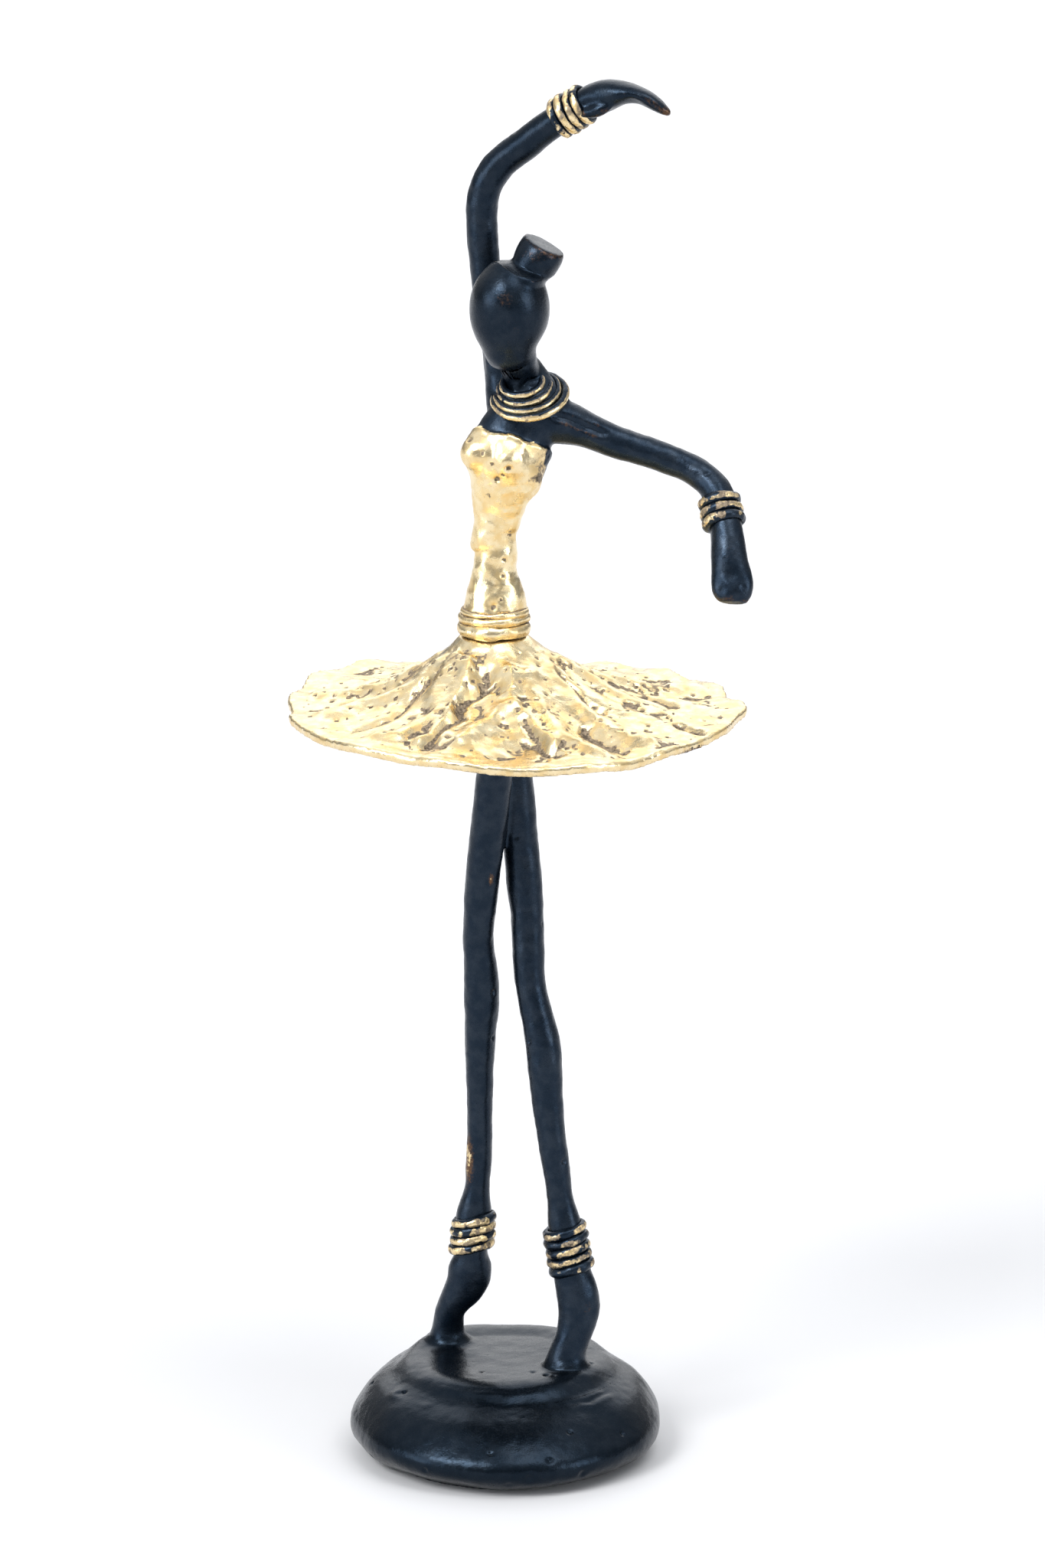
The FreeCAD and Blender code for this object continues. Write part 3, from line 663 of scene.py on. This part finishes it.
def upper_body():
    """Torso, head and arms, polished below the neckline and dark above it."""
    skin = skin_of(UPPER, UPPER_VOXEL, UPPER_ROUNDS)
    form_upper(skin)
    p = skin.p
    x, y, z = p.T
    side = (p - NECKLINE_POINT) @ NECKLINE_NORMAL + 0.8 * noise(p, 4.0, 11)
    side = side + 0.5 * noise(p, 1.8, 12)
    trunk = step(15.5, 13.0, x) * step(-16, -14, x) * step(317, 314, z)
    below = step(0.5, -0.5, side) * trunk
    head = step(321, 325, z) * step(-12, -9.5, x) * step(13.5, 11.5, y)
    # The masks' noise keeps to the points as they are before the sculpting.
    fleck = step(0.22, 0.5, rough(p, 2.6, 61)) * band(side, (4.5, 1.0), (-1.5, 0.5)) * trunk
    gold = np.maximum(below, 0.75 * fleck * step(0.5, 4.0, x))
    # The bodice's right side loses polish and gains residue: painted shade, mottled with the dark
    # patina of its cracks.
    cracks_and_side_shade = step(9.5, 14.0, x + 2.4 * noise(p, 3.0, 62)) * step(282, 288, z)
    gold = gold * (1 - 0.75 * cracks_and_side_shade)
    dull_and_side_shade = 0.6 * step(0.25, 0.6, rough(p, 5.0, 64)) * step(0.0, 0.4, rough(p, 1.6, 65))
    # Painted shade: more residue towards the bodice's right side.
    dull_and_side_shade += 0.5 * step(5.0, 11.0, x + 2.0 * noise(p, 4.0, 66)) * step(282, 288, z)
    work_upper(skin, side, trunk, below, head)
    hollow = skin.hollow(6)
    wide = skin.hollow(24)
    # dirt here also holds the painted shade on the bodice's right side.
    dirt = 0.30 * step(-0.1, 0.5, rough(p, 3.4, 63)) + step(0.015, 0.11, hollow) * 0.9 + dull_and_side_shade
    crests = 0.42 * step(0.03, 0.11, -hollow) + 0.10 * step(0.1, 0.35, -wide)
    wear = np.maximum(worn_spots(skin), crests) * (1 - below)
    dirt = np.clip(dirt, 0, 1) * below
    masks = {"gold": gold, "dirt": dirt, "wear": wear, "deep": 0.45 * head}
    finish = {name: DARK for name in UPPER}
    finish.update(abdomen=POLISHED, bodice=POLISHED)
    split(skin, UPPER, masks, finish)


# ---------------------------------------------------------------- base and legs

def to_feet(p):
    """Level distance to the nearer foot."""
    return np.minimum(*[np.hypot(p[:, 0] - x, p[:, 1] - y) for x, y in FEET])


def form_lower(skin):
    """Fillets round the feet, and a soft shoulder from the plateau to the dome."""
    z = skin.p[:, 2]
    feet = step(13, 8, to_feet(skin.p)) * band(z, (22, 25), (33, 29))
    lip = band(z, (18.0, 20.0), (27.0, 25.5)) * 0.7
    skin.relax(np.maximum(feet, lip), 14)
    x, y, z = skin.p.T
    outer = skin.normals()[:, 2] > -0.2
    shoulder = step(20.0, 26.0, np.hypot(x, y - 5.0)) * band(z, (11.0, 15.0), (28.5, 27.0)) * outer
    near_foot = step(11.0, 8.0, to_feet(skin.p))
    fill = 1.9 * bell(z - 19.6, 3.4) + 0.9 * step(8, 30, y) * step(19, 24, z)
    skin.push(fill * shoulder)
    skin.relax(shoulder * (1 - near_foot), 130)


def lower_body():
    """The domed base, and the legs up to the hips."""
    skin = skin_of(LOWER, LOWER_VOXEL, LOWER_ROUNDS)
    form_lower(skin)
    p = skin.p
    x, y, z = p.T
    plate = step(30, 27.5, z)
    limbs = 1 - plate
    inside = (np.hypot(x, y - 1.5) < 39.0) & (z < 17.0) & (skin.normals()[:, 2] < 0.25)
    planes = facets(p * np.array((1.0, 1.0, 0.6)), 8.0, 78)
    wax = 0.20 * facets(p, 6.4, 71) + 0.24 * rough(p, 8.0, 72) + 0.06 * rough(p, 2.2, 73)
    height = wax * limbs - 0.30 * planes * limbs
    waves = 0.75 * noise(p, 15.0, 74) + 0.16 * rough(p, 5.0, 75) + 0.03 * rough(p, 2.0, 76)
    height += waves * plate
    ripple, _ = along(p, BASE_RIPPLE)
    uneven = step(-0.5, 0.3, noise(p, 9.0, 70))
    height += (wave(ripple, *RIPPLE_CREST) - wave(ripple, *RIPPLE_TROUGH)) * plate * uneven
    height -= 0.65 * pits(cells(p, 4.6, 77), 0.22, 0.08, 0.10) * ~inside
    height -= carved(p, *BASE_CRACK)
    height -= carved(p, *BASE_FOLD)
    skin.push(marks(skin, height) * step(0.2, 2.0, z))
    skin.relax(0.5, 1)
    skin.p[:, 2] = np.where(skin.p[:, 2] < FLAT_BELOW, 0.0, skin.p[:, 2])
    crests = 0.5 * step(0.03, 0.12, -skin.hollow(6)) * (limbs + 0.35 * plate)
    worn = worn_spots(skin)
    masks = {
        "gold": step(0.25, 0.85, worn) * (0.44 + 0.30 * rough(p, 2.0, 79)),
        "dirt": np.full(len(p), 0.15),
        "wear": np.maximum(worn, crests),
        "deep": 0.85 * plate,
    }
    split(skin, LOWER, masks, {name: DARK for name in LOWER})


# ---------------------------------------------------------------- wires, belt and skirt

def wire(name, swell, seed, gilt):
    """A wound wire: uneven, flattened, bright on its crest and dark in its grooves."""
    skin = skin_of([name], WIRE_VOXEL, WIRE_ROUNDS)
    p = skin.p
    centre = (p.min(axis=0) + p.max(axis=0)) / 2
    sample = (p - p.mean(axis=0))[:: max(1, len(p) // FIT_POINTS)]
    axis = np.linalg.svd(sample, full_matrices=False)[2][2]
    out = (p - centre) - ((p - centre) @ axis)[:, None] * axis
    out /= np.maximum(np.linalg.norm(out, axis=1), 1e-6)[:, None]
    lumps = 0.55 * noise(p, 5.0, seed + 1) + 0.30 * noise(p, 2.2, seed + 2)
    skin.push(0.12 + swell * (lumps + 0.5 * facets(p, 3.0, seed)))
    skin.relax(0.5, 1)
    facing = np.einsum("ij,ij->i", skin.normals(), out)
    patches = step(-0.60, -0.05, rough(p, 4.5, seed + 3) + 0.7 * (gilt - 0.5))
    crest = facing + 0.30 * rough(p, 1.8, seed + 5)
    gold = step(0.66 - 0.30 * gilt, 1.00 - 0.15 * gilt, crest) * patches
    gold = (gold - 1.2 * step(0.01, 0.06, skin.hollow(5))) * (0.65 + 0.35 * gilt)
    dirt = step(0.85, 0.45, facing) * 0.8 + 0.55 - 0.25 * gilt
    dirt += 0.30 * step(-0.1, 0.5, rough(p, 1.6, seed + 4))
    masks = {
        "gold": np.clip(gold, 0, 1),
        "dirt": np.clip(dirt, 0, 1),
        "wear": 0.22 * step(0.2, 0.8, facing),
    }
    piece("wire_" + name, name, skin, masks, WORN_RINGS)


def belt():
    """The rolls of wax round the top of the skirt."""
    for k, name in enumerate(BELT):
        skin = skin_of([name], BELT_VOXEL, BELT_ROUNDS)
        p = skin.p
        height = 0.30 + 0.40 * noise(p, 5.0, 92 + k) + 0.40 * facets(p, 3.4, 91 + k)
        skin.push(height + 0.08 * rough(p, 1.6, 93 + k))
        skin.relax(0.6, 4)
        side = np.abs(skin.normals()[:, 2])
        dirt = step(0.72, 0.92, side) * 0.8 + 0.55 * step(0.15, 0.5, rough(p, 2.2, 95 + k))
        dirt += step(0.02, 0.08, skin.hollow(5))
        masks = {"gold": np.ones(len(p)), "dirt": np.clip(dirt, 0, 1), "wear": np.zeros(len(p))}
        piece("belt_" + name, name, skin, masks, POLISHED)


def cast_ridges(turn, share):
    """The ridges that run out over the skirt: turn in radians, share from the belt to the rim."""
    turned = np.degrees(turn + RIDGE_SWIRL * (1 - share) ** 2) % 360
    around = np.array([CAST_RIDGES[-1] - 360, *CAST_RIDGES, CAST_RIDGES[0] + 360])
    which = np.clip(np.searchsorted(around, turned, "right") - 1, 0, len(around) - 2)
    phase = (turned - around[which]) / (around[which + 1] - around[which])
    pleat = (0.5 + 0.5 * np.cos(2 * np.pi * phase)) ** RIDGE_SHARPNESS
    swell = np.sin(np.pi * np.minimum(share * 0.8, 0.62))
    return RIDGE_HEIGHT * (pleat - RIDGE_LEVEL) * swell * share**0.4


def draped_folds(level, radius):
    """Height of the single folds, which waver and start and end softly."""
    stray = [WAVER * noise(level, WAVER_SIZE, seed) for seed in (101, 102)]
    wavering = level + np.column_stack([*stray, np.zeros(len(level))])
    before_rim = 0.15 + 0.85 * step(62.0, 57.0, radius)
    height = np.zeros(len(level))
    for lift, width, path in FOLDS:
        line = []
        for r, degrees in path:
            out = min(r / SKIRT_RADIUS, 1)
            shift = SKIRT_RIM_CENTRE[0] * out + SKIRT_TOP_CENTRE[0] * (1 - out)
            turn = math.radians(degrees)
            line.append((r * math.cos(turn) + shift, r * math.sin(turn) + SKIRT_MIDDLE_Y, 0.0))
        away, place = along(wavering, line)
        ends = band(place, (0.0, 0.12), (1.0, 0.88))
        height += FOLD_GAIN * lift * ends * before_rim * bell(away, width)
    return height


def skirt():
    """The thin cast skirt: worked folds on top, dark and plain below."""
    skin = skin_of(["tutu_skirt"], SKIRT_VOXEL, SKIRT_ROUNDS)
    flat = skin.p[:, :2]
    none = np.zeros(len(flat))
    reach = np.clip(np.linalg.norm(flat - SKIRT_TOP_CENTRE, axis=1) / SKIRT_RADIUS, 0, 1)
    centre = SKIRT_TOP_CENTRE + (SKIRT_RIM_CENTRE - SKIRT_TOP_CENTRE) * reach[:, None]
    radius = np.linalg.norm(flat - centre, axis=1)
    turn = np.arctan2(flat[:, 1] - centre[:, 1], flat[:, 0] - centre[:, 0])
    level = np.column_stack([flat, none])
    share = np.clip((radius - BELT_RADIUS) / BELT_TO_RIM, 0, 1)
    # The ridges are already in the casting, and are calmed by about half.
    height = -cast_ridges(turn, share) * (0.45 + 0.15 * step(46, 60, radius))
    height += draped_folds(level, radius)
    up = step(-0.15, 0.15, skin.normals()[:, 2])
    under = 1 - up
    skin.p = skin.p + np.column_stack([none, none, height * step(*LIFT_EDGE, radius)])
    degrees = np.degrees(turn)
    jut = sum(size * bell(degrees - angle, width) for size, angle, width in RIM_JUTS)
    outward = np.column_stack([np.cos(turn), np.sin(turn), none])
    skin.p = skin.p + outward * (jut * step(*JUT_EDGE, radius))[:, None]

    p = skin.p
    rim = step(*RIM_EDGE, radius)
    body = step(10.5, 14.0, radius) * (1 - rim)
    scoop = step(0.18, 0.42, rough(level, 9.0, 111) + 0.55 * rough(level, 3.6, 112)) * body
    fine = 0.30 * facets(p, 4.4, 113) + 0.16 * facets(p, 2.1, 114) + 0.10 * rough(p, 1.8, 115)
    fine -= 0.40 * pits(cells(p, 2.8, 116), 0.36, 0.16, 0.30) * body
    fine -= 0.45 * scoop
    fine += 0.35 * rim * step(-0.6, 0.4, rough(level, 7.0, 117))
    skin.push(fine * (0.35 + 0.65 * up) * step(10.0, 12.0, radius))
    skin.relax(0.5, 1)

    hollow = skin.hollow(5)
    dirt = 0.62 * scoop * step(-0.25, 0.35, rough(level, 2.4, 118)) + 0.9 * step(0.02, 0.10, hollow)
    dirt += 0.55 * step(0.08, 0.45, skin.hollow(30)) * step(-0.3, 0.3, rough(level, 2.8, 119))
    dirt = np.clip(dirt * (1 - 0.8 * rim), 0, 1)
    masks = {
        "gold": np.where(under > 0.5, 0.20 + 0.6 * step(59, 62, radius), 1.0),
        "dirt": dirt * up + 0.4 * under,
        "wear": under * (0.35 + 0.4 * step(0.02, 0.1, -hollow)),
    }
    piece("cast_tutu_skirt", "tutu_skirt", skin, masks, POLISHED)


upper_body()
lower_body()
skirt()
belt()
for rings, swell, seed, gilt_right, gilt_left in WINDINGS:
    for number, ring in enumerate(rings):
        gilt = gilt_right if "right" in ring else gilt_left
        wire(ring, swell, seed + SEEDS_PER_WIRE * number, gilt)


# ---------------------------------------------------------------- studio

def plain(name, colour, roughness):
    material = bpy.data.materials.new(name)
    material.use_nodes = True
    shader = material.node_tree.nodes["Principled BSDF"]
    shader.inputs["Base Color"].default_value = (*colour, 1)
    shader.inputs["Roughness"].default_value = roughness
    return material


def distant(name, azimuth, elevation, spread, strength, colour):
    """A large softbox far away. Azimuth 0 is the front and 90 the viewer's right."""
    data = bpy.data.lights.new(name, "SUN")
    data.angle = math.radians(spread)
    data.energy = strength
    data.color = colour
    light = bpy.data.objects.new(name, data)
    light.rotation_mode = "XYZ"
    light.rotation_euler = (math.radians(90 - elevation), 0, math.radians(azimuth))
    bpy.context.scene.collection.objects.link(light)


def room():
    """A pale room, brighter overhead, that the camera itself sees as white."""
    world = bpy.data.worlds.new("studio")
    world.use_nodes = True
    tree = world.node_tree
    lit = tree.nodes["Background"]
    lit.inputs["Color"].default_value = ROOM_COLOUR
    direction = tree.nodes.new("ShaderNodeTexCoord")
    parts = tree.nodes.new("ShaderNodeSeparateXYZ")
    rise = tree.nodes.new("ShaderNodeMapRange")
    rise.interpolation_type = "SMOOTHSTEP"
    rise.inputs["From Min"].default_value = HORIZON
    rise.inputs["From Max"].default_value = ZENITH
    rise.inputs["To Min"].default_value = HORIZON_GLOW
    rise.inputs["To Max"].default_value = ZENITH_GLOW
    seen = tree.nodes.new("ShaderNodeBackground")
    seen.inputs["Color"].default_value = (1.0, 1.0, 1.0, 1)
    either = tree.nodes.new("ShaderNodeMixShader")
    ray = tree.nodes.new("ShaderNodeLightPath")
    tree.links.new(direction.outputs["Generated"], parts.inputs["Vector"])
    tree.links.new(parts.outputs["Z"], rise.inputs["Value"])
    tree.links.new(rise.outputs["Result"], lit.inputs["Strength"])
    tree.links.new(ray.outputs["Is Camera Ray"], either.inputs[0])
    tree.links.new(lit.outputs["Background"], either.inputs[1])
    tree.links.new(seen.outputs["Background"], either.inputs[2])
    tree.links.new(either.outputs[0], tree.nodes["World Output"].inputs["Surface"])
    bpy.context.scene.world = world


floor_mesh = bpy.data.meshes.new("floor")
signs = [(-1, -1), (1, -1), (1, 1), (-1, 1)]
corners = [(FLOOR_HALF * x, FLOOR_HALF * y, 0) for x, y in signs]
floor_mesh.from_pydata(corners, [], [(0, 1, 2, 3)])
floor_mesh.materials.append(plain("pale_floor", FLOOR_COLOUR, FLOOR_ROUGHNESS))
floor = bpy.data.objects.new("floor", floor_mesh)
bpy.context.scene.collection.objects.link(floor)

for softbox in SOFTBOXES:
    distant(*softbox)
room()
bpy.context.scene.view_settings.view_transform = "Standard"

camera_data = bpy.data.cameras.new("camera")
camera_data.sensor_fit = "AUTO"
camera_data.sensor_width = SENSOR
camera_data.lens = LENS
camera_data.clip_start, camera_data.clip_end = CLIP_NEAR, CLIP_FAR
camera = bpy.data.objects.new("camera", camera_data)
camera.location = CAMERA_PLACE
camera.rotation_euler = (math.radians(CAMERA_TILT), 0.0, 0.0)
bpy.context.scene.collection.objects.link(camera)
bpy.context.scene.camera = camera
